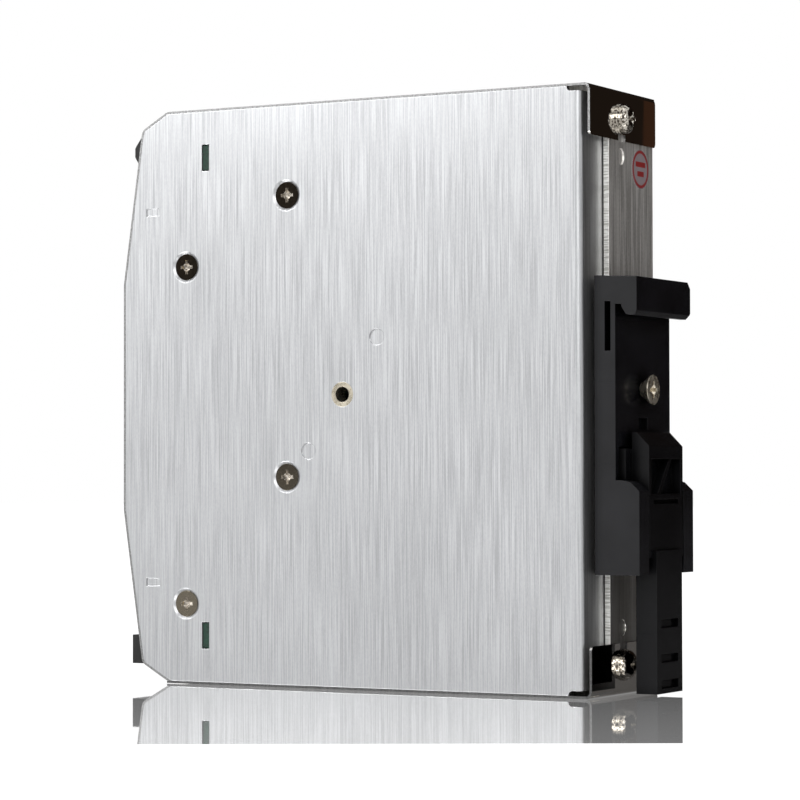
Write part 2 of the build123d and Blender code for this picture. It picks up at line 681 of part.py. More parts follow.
def make_latch():
    """Sliding latch about the middle: ledges in the grooves, snap nose, hollow tail with finger grips."""
    stem, wide, tail = nose_width / 2, ledge_width / 2, tail_width / 2
    low, high, tip = out(lip_reach - ledge_thickness), out(lip_reach), out(nose_reach)
    nose = [(high, nose_bottom), (high, nose_top), (high + nose_flat, nose_top), (tip, nose_top - nose_slope),
            (tip, nose_bottom)]
    latch = across(nose, -stem, stem)
    ledge = [(low, latch_low), (low, ledge_top - ledge_tip), (low + ledge_tip, ledge_top), (high, ledge_top),
             (high, latch_low)]
    latch += across(ledge, -wide, wide)
    floor = tail_bottom - mid_z
    back = out(tail_reach - tail_depth)
    latch += block((-tail, tail), (back, out(tail_reach)), (floor, nose_bottom + tail_wall))
    latch -= block((tail_wall - tail, tail - tail_wall), (back - 1, out(tail_reach - tail_wall)),
                   (floor + tail_wall, nose_bottom - tail_wall))
    for z in grip_heights:
        latch -= block(around(0, grip_width), (out(tail_reach - grip_depth), out(tail_reach + 1)),
                       around(z - mid_z, grip_height))

    # Recess in the nose's face, with a slanted rib across it, and the line below
    rim = stem - nose_rim
    recess = block((-rim, rim), (tip - nose_recess_depth, tip + 1), nose_recess)
    middle = Pos(0, tip - rib_width, sum(nose_recess) / 2)
    latch -= recess - middle * Rot(0, rib_lean, 0) * Box(rib_width, rib_width * 1.5, nose_width)
    latch -= block((nose_rim - rim, rim - nose_rim), (tip - grip_depth, tip + 1), nose_line)

    # Pocket for the spring
    latch -= block((-spring_room, spring_room), (low - 1, high + lap_gap), (latch_low - 1, spring_top))
    save(Pos(0, 0, mid_z) * latch, "clip_latch")


def make_spring():
    """Coil spring that pushes the latch up against the rail."""
    rise = spring_top - spring_seat - 2 * spring_wire - spring_gap
    path = Helix(rise / spring_turns, rise, spring_radius)
    coil = sweep(Plane(origin=path @ 0, z_dir=path % 0) * Circle(spring_wire), path=path, is_frenet=True)
    y = out(lip_reach) - ledge_thickness / 2
    save(Pos(0, y, mid_z + spring_seat + spring_wire + spring_gap / 6) * coil, "latch_spring")


def make_boards():
    """Board behind the front with tabs in both sides, and the main board on posts."""
    wide = inner - component_gap
    thick = around(tab_slot_y, board)
    front = block((-wide, wide), thick, (terminal_board_end, case_height - terminal_board_end))
    for way in ways_up:
        front += block((tab_gap - half, half - tab_gap), thick,
                       around(mid_z + way * (mid_z - tab_slot_end), tab_slot_length - 2 * tab_gap))
    save(front, "terminal_board")
    area = (main_front, main_rear), (main_low, main_high)
    main = block((board_x, top_side), *area)
    skin = block((-inner + film_set, -inner + film_set + film), *area)
    posts, screws = [], []
    for y, z in standoff_spots:
        main -= rod("+X", (board_x - 1, y, z), screw_shank / 2, board + 2)
        skin -= rod("+X", (-half, y, z), film_hole, sheet + board_gap)
        bore = rod("+X", (-half + sheet / 2, y, z), screw_shank / 2, sheet + board_gap)
        posts.append(hexagon_post(y, z, board_gap) - bore)
        screw = pan_screw(small_head, screw_shank, small_length, small_rise)
        screws.append(Pos(top_side, y, z) * facing_side * screw)
    save(main, "main_board")
    save(skin, "insulation_film")
    group(posts, "standoffs")
    group(screws, "board_screws")
    long = [hexagon_post(y, z, 2 * inner) - rod("-X", (inner + 1, y, z), screw_shank / 2, screw_length + 2)
            for y, z in cover_screw_spots[2:]]
    group(long, "cover_posts")


def hexagon_post(y, z, length):
    """A hexagonal post riveted into the far side."""
    hexagon = extrude(Plane.YZ.offset(-inner) * Pos(y, z) * RegularPolygon(post_width, 6), length)
    return hexagon + rod("+X", (-half, y, z), post_stud / 2, sheet)


def make_heatsink():
    """Aluminium angle that takes the heat of both power devices to the cover."""
    face = inner - pad
    angle = [(top_side, sink_rear - sink_web), (face - sink_web, sink_rear - sink_web),
             (face - sink_web, sink_front), (face, sink_front), (face, sink_rear), (top_side, sink_rear)]
    bar = Pos(0, 0, sink_low) * extrude(make_face(Polyline(*angle, close=True)), sink_high - sink_low)
    cushion = block((face, inner), (sink_front, sink_rear), (sink_low, sink_high))
    for y, z in cover_screw_spots[:2]:
        bar -= rod("-X", (half, y, z), screw_shank / 2, screw_length + 2)
        cushion -= rod("-X", (half, y, z), screw_shank / 2 + recess_gap, screw_length + 2)
    screws = []
    low = top_side + device_lift
    for node, z in cooled.items():
        high, thick, wide = device_size
        case = block((low, low + high), (sink_rear, sink_rear + thick), around(z, wide))
        tab = (low + high, low + high + device_tab[0])
        case += block(tab, (sink_rear, sink_rear + device_tab[1]), around(z, wide))
        for leg in (-pin_pitch, 0, pin_pitch):
            case += block((top_side, low), around(sink_rear + thick / 2, pin), around(z + leg, pin))
        x = tab[1] - device_hole
        case -= rod("+Y", (x, sink_rear - 1, z), screw_shank / 2, device_tab[1] + 2)
        bar -= rod("+Y", (x, sink_rear - sink_web - 1, z), screw_shank / 2, sink_web + 2)
        screw = pan_screw(small_head, screw_shank, small_length, small_rise)
        screws.append(Pos(x, sink_rear + device_tab[1], z) * facing_rear * screw)
        save(case, node)
    save(bar, "heatsink")
    save(cushion, "thermal_pad")
    group(screws, "device_screws")


def can(diameter, length):
    """An electrolytic capacitor along Z: crimped can with a vented top."""
    r, edge, crimp = diameter / 2, 0.6, 0.5
    body = turned([(0, 0), (r - edge, 0), (r, edge), (r, 3 * edge), (r - crimp, 3 * edge + crimp),
                   (r, 3 * edge + 2 * crimp), (r, length - edge), (r - edge, length), (0, length)])
    vent = Box(diameter * 0.6, crimp, crimp) + Box(crimp, diameter * 0.6, crimp)
    return body - Pos(0, 0, length) * vent


def wound_ring(size, turns):
    """A wound ring core lying on the board, with gaps between its turns."""
    outer, hole, height = size
    section = Pos((outer + hole) / 4, height / 2) * RectangleRounded((outer - hole) / 2, height, height / 7)
    ring = revolve(Plane.XZ * section, Axis.Z)
    groove = Pos(outer / 2, 0, height / 2) * Box(*turn_gap, height + 1)
    for turn in range(turns):
        ring -= Rot(0, 0, turn * 360 / turns) * groove
    return ring


def legs(y, z0, pitch, count, width, height):
    """A row of legs that stand on the board."""
    for leg in range(count):
        yield block((top_side, top_side + height), y, (z0 + leg * pitch, z0 + leg * pitch + width))


def on_board(y, z, lift):
    """A body over the board from its ranges in Y and Z and its heights above the board."""
    return block([top_side + level for level in lift], y, z)


def behind(box):
    """A box with its first range turned from distances behind the front into Y."""
    return [front_y + back for back in box[0]], *box[1:]


def make_components():
    """What the main board carries, from the mains side at the bottom to the output on top."""
    y, z = plate_y - bulk_spot[0], bulk_spot[1]
    bulk_x = top_side + bulk_diameter / 2
    bulk = Pos(bulk_x + component_gap, y, z) * can(bulk_diameter, bulk_length)
    for way in ways_up:
        bulk += block((top_side, bulk_x), around(y + way * bulk_pins, pin), (z - pin, z))
    save(bulk, "bulk_capacitor")
    small = [Pos(top_side, plate_y - ahead, case_height - drop) for ahead, drop in small_can_rows]
    group([spot * facing_side * can(*small_can) for spot in small], "output_capacitors")
    spot = Pos(top_side, front_y + choke_spot[0], choke_spot[1])
    save(spot * facing_side * wound_ring(choke_size, choke_turns), "line_choke")
    spot = Pos(top_side, plate_y - inductor_spot[0], inductor_z)
    save(spot * facing_side * wound_ring(inductor_size, inductor_turns), "output_inductor")

    # Transformer: a ferrite frame round a wound former, between the large can and the inductor
    middle = Pos(top_side + winding_thick / 2 + component_gap * 2, transformer_y, transformer_z)
    core = middle * Box(*core_size)
    room = (core_size[1] - core_middle) / 2 - core_limb
    high = core_size[2] - core_middle
    for way in ways_up:
        core -= middle * Pos(0, way * (core_middle + room) / 2, 0) * Box(core_size[0] + 1, room, high)
    bore = RectangleRounded(core_size[0] + 2 * winding_gap, core_middle + 2 * winding_gap, 0.5)
    wound = RectangleRounded(winding_thick, core_middle + 2 * (room - winding_gap), 3) - bore
    tall = high - 2 * winding_gap
    save(core, "transformer_core")
    save(middle * Pos(0, 0, -tall / 2) * extrude(wound, tall), "transformer_winding")

    x = top_side + fuse_holder[0] / 2
    middle = Pos(x, plate_y - fuse_spot[0], fuse_spot[1])
    fuse = middle * Cylinder(fuse_radius, fuse_length)
    for way in ways_up:
        fuse += middle * Pos(0, 0, way * (fuse_length - fuse_holder[2]) / 2) * Box(*fuse_holder)
    save(fuse, "fuse")
    high, deep, long = film_capacitor_size
    start = transformer_y + core_size[1] / 2 + film_capacitor_gap
    film_box = on_board((start, start + deep), around(transformer_z - film_capacitor_drop, long), (0, high))
    save(fillet(film_box.edges().filter_by(Axis.X), 0.8), "film_capacitor")
    y, z, lift = behind(bridge_box)
    pins = legs(around(sum(y) / 2, pin), z[0] + bridge_margin, bridge_pitch, 4, pin, lift[0])
    save(on_board(y, z, lift) + list(pins), "bridge_rectifier")
    y, z, lift = behind(chip_box)
    feet = legs((y[0] - chip_legs, y[1] + chip_legs), z[0] + chip_margin, chip_pitch, 4, pin / 2, pin / 2)
    save(on_board(y, z, lift) + list(feet), "controller_chip")
    y, z, lift = behind(coupler_box)
    feet = legs((y[0] - pin, y[1] + pin), z[0] + coupler_margin, coupler_pitch, 2, *coupler_leg)
    save(on_board(y, z, lift) + list(feet), "optocoupler")


def make_controls():
    """Output trimmer with its shaft to the front, and the lamp with its light pipe."""
    square, deep = trim_body
    body = block(around(0, square), (board_front - deep, board_front), around(trim_z, square))
    body -= rod("-Y", (0, board_front - trim_seat, trim_z), trim_rotor + trim_fit, deep)
    save(body, "voltage_trimmer")
    tip = front_y + control_set
    seat = board_front - trim_seat - component_gap
    rotor = rod("-Y", (0, seat, trim_z), trim_rotor, deep - trim_seat + recess_gap)
    stem = rotor + rod("+Y", (0, tip, trim_z), shaft / 2, board_front - deep - recess_gap - tip)
    stem -= block((-shaft, shaft), (tip - 1, tip + shaft_slot[1]), around(trim_z, shaft_slot[0]))
    save(stem, "trimmer_shaft")
    bulb = rod("-Y", (0, board_front, lamp_z), lamp / 2, lamp_length)
    save(bulb + rod("-Y", (0, board_front, lamp_z), lamp / 2 + lamp_rim, 1), "status_lamp")
    start = board_front - lamp_length - pipe_gap
    pipe = rod("-Y", (0, start, lamp_z), lamp / 2, start - tip)
    save(fillet(pipe.edges().filter_by(GeomType.CIRCLE).sort_by(Axis.Y)[0], pipe_round), "light_pipe")


make_side_cover()
make_chassis()
make_wrap()
make_bottom_plate()
make_terminal("output", output_ways, output_pitch, output_width, output_face(), True)
make_terminal("input", input_ways, input_pitch, input_width, input_face(), False)
make_fasteners()
make_clip_base()
make_latch()
make_spring()
make_boards()
make_heatsink()
make_components()
make_controls()
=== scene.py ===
import bpy
import math
from mathutils import Matrix, Vector


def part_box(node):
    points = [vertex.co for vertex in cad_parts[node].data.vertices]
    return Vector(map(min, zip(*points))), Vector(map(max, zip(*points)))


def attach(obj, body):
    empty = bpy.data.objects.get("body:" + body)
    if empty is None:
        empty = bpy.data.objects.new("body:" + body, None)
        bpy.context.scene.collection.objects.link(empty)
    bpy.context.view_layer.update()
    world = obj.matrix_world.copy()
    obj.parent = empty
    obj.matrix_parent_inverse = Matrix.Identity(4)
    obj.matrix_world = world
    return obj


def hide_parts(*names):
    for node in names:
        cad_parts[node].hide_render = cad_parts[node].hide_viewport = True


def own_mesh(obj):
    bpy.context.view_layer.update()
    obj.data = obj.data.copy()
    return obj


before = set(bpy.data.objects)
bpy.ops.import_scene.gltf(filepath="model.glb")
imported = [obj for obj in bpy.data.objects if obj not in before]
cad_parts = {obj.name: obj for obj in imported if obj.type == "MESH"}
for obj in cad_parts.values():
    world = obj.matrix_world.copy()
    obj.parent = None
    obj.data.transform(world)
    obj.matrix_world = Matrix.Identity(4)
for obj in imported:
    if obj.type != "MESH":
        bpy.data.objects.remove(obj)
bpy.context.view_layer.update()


# Camera
view = {
    "place": (0.5701, 0.3182, 0.0462),
    "heading": 29.271,     # degrees from +X towards +Y, object to camera
    "pitch": 1.347,        # degrees up
    "roll": -0.113,
    "lens": 136.15, "sensor": 36,     # millimetres
    "near": 0.01, "far": 20,          # metres
}


def makeCamera(look):
    heading, pitch, roll = (math.radians(look[key]) for key in ("heading", "pitch", "roll"))
    back = Vector((math.cos(heading), math.sin(heading), 0))
    right = (-back).cross(Vector((0, 0, 1)))
    forward = -back * math.cos(pitch) + Vector((0, 0, 1)) * math.sin(pitch)
    up = right.cross(forward)
    across = right * math.cos(roll) + up * math.sin(roll)
    upward = -right * math.sin(roll) + up * math.cos(roll)
    turn = Matrix((across, upward, -forward)).transposed()
    data = bpy.data.cameras.new("photoCamera")
    data.lens, data.sensor_width = look["lens"], look["sensor"]
    data.clip_start, data.clip_end = look["near"], look["far"]
    camera = bpy.data.objects.new("photoCamera", data)
    camera.matrix_world = Matrix.Translation(look["place"]) @ turn.to_4x4()
    bpy.context.scene.collection.objects.link(camera)
    bpy.context.scene.camera = camera


makeCamera(view)
print("camera made")


# Shader maths: a wrapped socket, so that expressions add their Math nodes
class Wire:
    def __init__(self, finish, socket):
        self.finish, self.socket = finish, socket

    def math(self, operation, first, second=None):
        values = {0: first} if second is None else {0: first, 1: second}
        return self.finish.add("ShaderNodeMath", {"operation": operation}, values)

    def __add__(self, other):
        return self.math("ADD", self, other)

    __radd__ = __add__

    def __mul__(self, other):
        return self.math("MULTIPLY", self, other)

    __rmul__ = __mul__

    def __sub__(self, other):
        return self.math("SUBTRACT", self, other)

    def __rsub__(self, other):
        return self.math("SUBTRACT", other, self)

    def __gt__(self, other):
        return self.math("GREATER_THAN", self, other)

    def __lt__(self, other):
        return self.math("LESS_THAN", self, other)

    def __abs__(self):
        return self.math("ABSOLUTE", self)


noiseRange = (0.3, 0.7)     # where most of a noise's values lie
squareOn = 0.9              # cosine from which a face counts as square to an axis
turnedTo = 0.5              # and as turned towards it
edgeSamples = 6
# Painted shade in corners and creases: samples, its tone, and the range over which it fades in
creviceShade = {"samples": 4, "paintedShade": (0.0008, 0.0008, 0.0008), "range": (0.35, 0.85)}


# A material under construction
class Finish:
    def __init__(self, name, tree=None):
        if tree is None:
            self.material = bpy.data.materials.new(name)
            self.material.use_nodes = True
            tree = self.material.node_tree
        self.tree = tree
        tree.nodes.clear()

    def add(self, kind, settings=None, values=None, out=0):
        node = self.tree.nodes.new(kind)
        for key, value in (settings or {}).items():
            setattr(node, key, value)
        for key, value in (values or {}).items():
            socket = node.inputs[key]
            if isinstance(value, Wire):
                self.tree.links.new(value.socket, socket)
            elif hasattr(value, "__len__") and len(value) == 3 and socket.type == "RGBA":
                socket.default_value = (*value, 1)
            else:
                socket.default_value = value
        return Wire(self, node.outputs[out]) if len(node.outputs) else None

    def place(self):
        return self.add("ShaderNodeTexCoord", out="Object")

    def facing(self):
        return self.axes(self.add("ShaderNodeNewGeometry", out="True Normal"))

    def axes(self, vector):
        return [self.add("ShaderNodeSeparateXYZ", None, {0: vector}, out=n) for n in range(3)]

    # Sum of values, each times its share
    def weigh(self, shares, *values):
        total = values[0] * shares[0]
        for share, value in zip(shares[1:], values[1:]):
            total = total + value * share
        return total

    def noise(self, scale, stretch=(1, 1, 1), detail=3, rough=0.55):
        spot = self.add("ShaderNodeMapping", None, {"Vector": self.place(), "Scale": stretch})
        values = {"Vector": spot, "Scale": scale, "Detail": detail, "Roughness": rough}
        return self.add("ShaderNodeTexNoise", None, values)

    def spread(self, value, low, high, start=noiseRange[0], stop=noiseRange[1]):
        return self.add("ShaderNodeMapRange", None, {0: value, 1: start, 2: stop, 3: low, 4: high})

    def blend(self, share, first, second):
        return self.add("ShaderNodeMix", {"data_type": "RGBA"}, {0: share, 6: first, 7: second}, out=2)

    # From one tone to another as the value goes from start to stop
    def mottle(self, value, first, second, start=noiseRange[0], stop=noiseRange[1]):
        return self.blend(self.spread(value, 0.0, 1.0, start, stop), first, second)

    # relief is a depth in metres and a strength; edgeRadius rounds the edges in the shading alone
    def bump(self, height, relief, edgeRadius=None):
        values = {"Height": height, "Distance": relief[0], "Strength": relief[1]}
        if edgeRadius:
            values["Normal"] = self.add("ShaderNodeBevel", {"samples": edgeSamples}, {"Radius": edgeRadius})
        return self.add("ShaderNodeBump", None, values)

    # 1 for rays from the eye, and for those that metal and glass pass on
    def seenDirectly(self):
        camera, gloss, through = (self.add("ShaderNodeLightPath", out=f"Is {kind} Ray")
                                  for kind in ("Camera", "Glossy", "Transmission"))
        either = self.add("ShaderNodeMath", {"operation": "MAXIMUM"}, {0: camera, 1: gloss})
        return self.add("ShaderNodeMath", {"operation": "MAXIMUM"}, {0: either, 1: through})

    # reach is how near, in metres, other faces have to be for painted shade to turn corners black
    def surface(self, reach=None, **values):
        values = {key.replace("_", " "): value for key, value in values.items()}
        shader = self.add("ShaderNodeBsdfPrincipled", None, values)
        if reach:
            samples = {"samples": creviceShade["samples"]}
            exposed = self.add("ShaderNodeAmbientOcclusion", samples, {"Distance": reach}, out="AO")
            paintedShade = self.add("ShaderNodeBsdfDiffuse", None, {"Color": creviceShade["paintedShade"]})
            share = self.spread(exposed, 0.0, 1.0, *creviceShade["range"])
            shader = self.add("ShaderNodeMixShader", None, {0: share, 1: paintedShade, 2: shader})
        self.add("ShaderNodeOutputMaterial", None, {"Surface": shader})
        return self.material


brushed = {
    # Cover and chassis are one brushed aluminium; the chassis's lighter tones are painted light on the rear
    # plate
    "cover": ((0.405, 0.410, 0.418), (0.292, 0.296, 0.303), 0.95),    # light and dark streaks, metallic
    "chassis": ((0.84, 0.82, 0.79), (0.48, 0.465, 0.44), 0.86),
    # noises: scale, stretch, detail, roughness
    "hairlines": (4300.0, (0.45, 1, 0.012), 3, 0.6),
    "strokes": (1700.0, (0.45, 1, 0.012), 3, 0.6),
    "bands": (300.0, (0.45, 1, 0.05), 3, 0.6),
    "grain": (5200.0, (0.45, 1, 0.3), 2),
    "smear": (22.0, (1, 1, 0.6)),
    "ticks": (3400.0, (0.1, 0.1, 1.0), 1),
    "streakShares": (0.62, 0.17, 0.08, 0.13), "streaks": (0.415, 0.585),
    "roughShares": (0.6, 0.4), "rough": (0.30, 0.42),
    "relief": (8e-6, 0.4), "edgeRadius": 0.0002,
    "footShadeFade": (0.030, 0.060, 0.70), "footShade": (0.06, 0.055, 0.05),      # painted shade on the rear plate's foot: heights and strength, tone
    "rearFrom": 0.051,                                                # Y, within the rear plate's thickness
    "sawn": (0.74, 0.73, 0.70), "notch": (0.42, 0.41, 0.38), "cuts": (0.40, 0.55),
    "sawnUpTo": 0.0066, "sawnFrom": 0.0497,                           # X and Y of the plate's free edge
}


# Vertical brushing in three widths; painted shade darkens the rear plate near its foot, and its free edge
# is sawn
def brushedMetal(name, look, piece):
    f = Finish(name)
    fine, stroke, band, grain, smear, ticks = (f.noise(*look[key]) for key in (
        "hairlines", "strokes", "bands", "grain", "smear", "ticks"))
    light, dark, metallic = look[piece]
    lines = f.weigh(look["streakShares"], fine, stroke, band, grain)
    tone = f.mottle(lines, dark, light, *look["streaks"])

    x, y, z = f.axes(f.place())
    sideways, rearward, _ = f.facing()
    # Painted shade: the rear plate darker towards its foot
    low, high, strength = look["footShadeFade"]
    footShade = f.spread(z, strength, 0.0, low, high) * (rearward > squareOn) * (y > look["rearFrom"])
    tone = f.blend(footShade, tone, look["footShade"])

    sawn = (sideways > squareOn) * (x < look["sawnUpTo"]) * (y > look["sawnFrom"])
    cut = f.mottle(ticks, look["notch"], look["sawn"], *look["cuts"])
    rough = f.spread(f.weigh(look["roughShares"], fine, smear), *look["rough"])
    return f.surface(Base_Color=f.blend(sawn, tone, cut), Metallic=metallic, Roughness=rough,
                     Normal=f.bump(fine, look["relief"], look["edgeRadius"]))


plated = {
    "tone": (0.62, 0.60, 0.575), "dull": (0.56, 0.54, 0.51), "clouds": 60.0, "rough": (0.010, 0.035),
    "edge": (0.25, 0.25, 0.25), "notches": (0.15, 0.15, 0.15), "edgeRough": 0.35,
    "ticks": (2400.0, (0.05, 1.0, 1.0), 2, 0.4), "cuts": (0.35, 0.65),
    "relief": (15e-6, 0.4), "cloudRelief": 0.02,
    "wrapEdge": 1.0, "shadedBottomEdge": 0.45,     # how bright the cut edges are; the bottom plate's darker edge is partly its own tone, partly painted shade along the foot
}


# Bright plated sheet: mirror smooth on its faces, sheared and ticked along its cut edges
def platedSheet(name, look, edgeShade):
    f = Finish(name)
    cut = abs(f.facing()[0]) > squareOn
    ticks = f.noise(*look["ticks"])
    cloud = f.noise(look["clouds"], detail=4)
    notches, sheared = (tuple(edgeShade * c for c in look[key]) for key in ("notches", "edge"))
    face = f.mottle(cloud, look["dull"], look["tone"])
    edge = f.mottle(ticks, notches, sheared, *look["cuts"])
    return f.surface(Base_Color=f.blend(cut, face, edge), Metallic=1.0,
                     Roughness=f.spread(cloud, *look["rough"]) * (1 - cut) + cut * look["edgeRough"],
                     Normal=f.bump(ticks * cut + cloud * look["cloudRelief"], look["relief"]))


# Turned or stamped small metal parts: tone, darker tone, roughness range
smallMetals = {
    "clampMetal": ((0.62, 0.61, 0.57), (0.48, 0.47, 0.44), (0.24, 0.40)),
    "springSteel": ((0.56, 0.56, 0.57), (0.42, 0.42, 0.43), (0.20, 0.34)),
    "brassPosts": ((0.78, 0.58, 0.27), (0.62, 0.44, 0.18), (0.22, 0.36)),
    "clipScrew": ((0.86, 0.80, 0.68), (0.40, 0.35, 0.27), (0.20, 0.36)),
    "insertMetal": ((0.46, 0.42, 0.34), (0.30, 0.27, 0.21), (0.20, 0.36)),
}
turning = {
    "stains": 700.0, "lines": 5200.0, "roughShares": (0.7, 0.3), "metallic": 0.95,
    "relief": (8e-6, 0.4), "edgeRadius": 0.00012,
}


def smallMetal(name, tone, darker, rough):
    f = Finish(name)
    stain = f.noise(turning["stains"], detail=4)
    turned = f.noise(turning["lines"], detail=2)
    return f.surface(Base_Color=f.mottle(stain, darker, tone), Metallic=turning["metallic"],
                     Roughness=f.spread(f.weigh(turning["roughShares"], stain, turned), *rough),
                     Normal=f.bump(turned, turning["relief"], turning["edgeRadius"]))


panScrews = {
    "tone": (0.48, 0.45, 0.40), "darker": (0.050, 0.041, 0.030), "rough": (0.04, 0.12),
    "stains": 2000.0, "stainRange": (0.40, 0.52), "stainRelief": 0.05,
    "knurl": 1500.0, "side": 0.55, "relief": (0.0001, 0.8), "edgeRadius": 0.0001,
}


# Nickel pan heads, their sides knurled
def panHead(name, look):
    f = Finish(name)
    stain = f.noise(look["stains"])
    side = abs(f.facing()[1]) < look["side"]
    knurl = f.noise(look["knurl"], detail=2) * side
    height = knurl + stain * look["stainRelief"]
    return f.surface(Base_Color=f.mottle(stain, look["darker"], look["tone"], *look["stainRange"]),
                     Metallic=1.0, Roughness=f.spread(stain, *look["rough"]),
                     Normal=f.bump(height, look["relief"], look["edgeRadius"]))


flushScrews = {
    # The ring's tones are a painted dark reflection, lighter on the lower heads; the recess tones are a
    # painted highlight
    "ring": (0.012, 0.009, 0.006), "lowRingReflection": (0.12, 0.105, 0.08), "ringReflectionFade": (0.02, 0.06),    # heights
    "ringDepth": 0.00012, "recess": (0.95, 0.88, 0.78), "recessDark": (0.050, 0.041, 0.030),
    "metallic": 0.55, "ringExtra": 0.4,     # metallic in the recess, and how much more on the ring
    "stains": 1400.0, "rough": (0.12, 0.30), "relief": (0.00004, 0.5), "edgeRadius": 0.0001,
}


# Countersunk heads: a painted dark reflection on the flat ring, lighter on the lower heads, and a painted
# highlight in the driven recess
def flushHead(name, look, top):
    f = Finish(name)
    stain = f.noise(look["stains"], detail=4)
    x, _, z = f.axes(f.place())
    flat = x > top - look["ringDepth"]
    # Painted dark reflection on the ring, lighter lower down, and a painted highlight in the recess
    ring = f.mottle(z, look["lowRingReflection"], look["ring"], *look["ringReflectionFade"])
    recess = f.mottle(stain, look["recessDark"], look["recess"])
    return f.surface(Base_Color=f.blend(flat, recess, ring), Roughness=f.spread(stain, *look["rough"]),
                     Metallic=flat * look["ringExtra"] + look["metallic"],
                     Normal=f.bump(stain, look["relief"], look["edgeRadius"]))


# Plastics: tone, darker tone, roughness range, grain's scale and depth, specular level
plastics = {
    "clipPlastic": ((0.0048, 0.0048, 0.0060), (0.0022, 0.0022, 0.0028), (0.31, 0.52), 5200.0, 14e-6, 0.20),
    "latchPlastic": ((0.0032, 0.0032, 0.0038), (0.0016, 0.0016, 0.0020), (0.30, 0.42), 5200.0, 12e-6, 0.13),
    "blackMoulding": ((0.008, 0.008, 0.008), (0.005, 0.005, 0.005), (0.38, 0.52), 4200.0, 15e-6, 0.20),
    "epoxyBlack": ((0.022, 0.022, 0.023), (0.014, 0.014, 0.015), (0.50, 0.65), 3600.0, 20e-6, 0.40),
    "capacitorSleeve": ((0.020, 0.024, 0.050), (0.012, 0.014, 0.032), (0.22, 0.34), 900.0, 10e-6, 0.50),
    "windingTape": ((0.72, 0.55, 0.10), (0.60, 0.43, 0.06), (0.22, 0.36), 700.0, 20e-6, 0.50),
    "filmCase": ((0.55, 0.40, 0.07), (0.44, 0.31, 0.05), (0.26, 0.38), 1500.0, 10e-6, 0.50),
    "trimmerBlue": ((0.03, 0.13, 0.38), (0.02, 0.09, 0.28), (0.28, 0.42), 1500.0, 10e-6, 0.50),
    "shaftWhite": ((0.78, 0.78, 0.75), (0.68, 0.68, 0.64), (0.30, 0.42), 1500.0, 10e-6, 0.50),
    "greyPad": ((0.34, 0.34, 0.36), (0.27, 0.27, 0.29), (0.62, 0.78), 2600.0, 20e-6, 0.35),
    "clearFilm": ((0.60, 0.50, 0.28), (0.52, 0.42, 0.22), (0.12, 0.22), 400.0, 10e-6, 0.50),
    "fuseGlass": ((0.70, 0.69, 0.64), (0.55, 0.54, 0.50), (0.10, 0.22), 900.0, 10e-6, 0.55),
    "ferrite": ((0.045, 0.045, 0.048), (0.028, 0.028, 0.030), (0.42, 0.58), 3000.0, 20e-6, 0.45),
}
moulding = {
    "clouds": 90.0, "strength": 0.5, "edgeRadius": 0.00018,
    "roughShares": (0.6, 0.4), "rearGloss": 0.5,     # how much smoother faces turned to +Y are
    "partingLines": {"clipPlastic": (0.06425, 0.0475), "latchPlastic": (0.0128,)},    # heights
    "lineWidth": 0.00014, "lineDepth": 6,     # half its width in metres, and its depth in grain depths
    # reach: how near faces must be for painted shade in the clip's corners, in metres
    "reach": 0.003,
}


def mouldedPlastic(name, tone, darker, rough, grainScale, grainDepth, shine):
    f = Finish(name)
    cloud = f.noise(moulding["clouds"], detail=4)
    grain = f.noise(grainScale, detail=2)
    height = grain
    levels = moulding["partingLines"].get(name, ())
    for level in levels:
        z = f.axes(f.place())[2]
        height = height - (abs(z - level) < moulding["lineWidth"]) * moulding["lineDepth"]
    rearward = f.facing()[1] > turnedTo
    dullness = f.spread(f.weigh(moulding["roughShares"], cloud, grain), *rough)
    return f.surface(moulding["reach"] if levels else None, Base_Color=f.mottle(cloud, darker, tone),
                     Roughness=dullness * (1 - rearward * moulding["rearGloss"]), Specular_IOR_Level=shine,
                     Normal=f.bump(height, (grainDepth, moulding["strength"]), moulding["edgeRadius"]))


windings = {
    "copper": (0.50, 0.17, 0.045), "shadow": (0.20, 0.06, 0.02), "pitch": 2400.0, "range": (-0.6, 1.2),
    "stains": 500.0, "metallic": 0.35, "rough": (0.22, 0.36), "relief": (0.00012, 0.6),
}


# Enamelled wire, its turns in the bump
def woundCopper(name, look):
    f = Finish(name)
    _, y, z = f.axes(f.place())
    turns = f.add("ShaderNodeMath", {"operation": "SINE"}, {0: (y + z) * look["pitch"]})
    stain = f.noise(look["stains"])
    return f.surface(Base_Color=f.mottle(turns + stain, look["shadow"], look["copper"], *look["range"]),
                     Metallic=look["metallic"], Roughness=f.spread(stain, *look["rough"]),
                     Normal=f.bump(turns, look["relief"]))


boards = {
    "mask": (0.010, 0.075, 0.040), "track": (0.016, 0.115, 0.058), "tracks": 260.0, "trackEdge": 0.12,
    "edge": (0.006, 0.030, 0.018), "weave": (0.002, 0.008, 0.005), "weaves": 1800.0,
    "rough": (0.24, 0.36), "edgeRough": 0.3, "shine": 0.25, "relief": (0.00003, 0.5),
}


# Solder mask with tracks under it, and the bare edge of the laminate
def circuitBoard(name, look, faceAxis):
    f = Finish(name)
    edge = abs(f.facing()[faceAxis]) < turnedTo
    cells = f.add("ShaderNodeTexVoronoi", {"distance": "MANHATTAN", "feature": "DISTANCE_TO_EDGE"},
                  {"Vector": f.place(), "Scale": look["tracks"]})
    track = cells > look["trackEdge"]
    weave = f.noise(look["weaves"], detail=2)
    face = f.blend(track, look["mask"], look["track"])
    side = f.mottle(weave, look["weave"], look["edge"])
    return f.surface(Base_Color=f.blend(edge, face, side), Specular_IOR_Level=look["shine"],
                     Roughness=f.spread(weave, *look["rough"]) + edge * look["edgeRough"],
                     Normal=f.bump(track, look["relief"]))


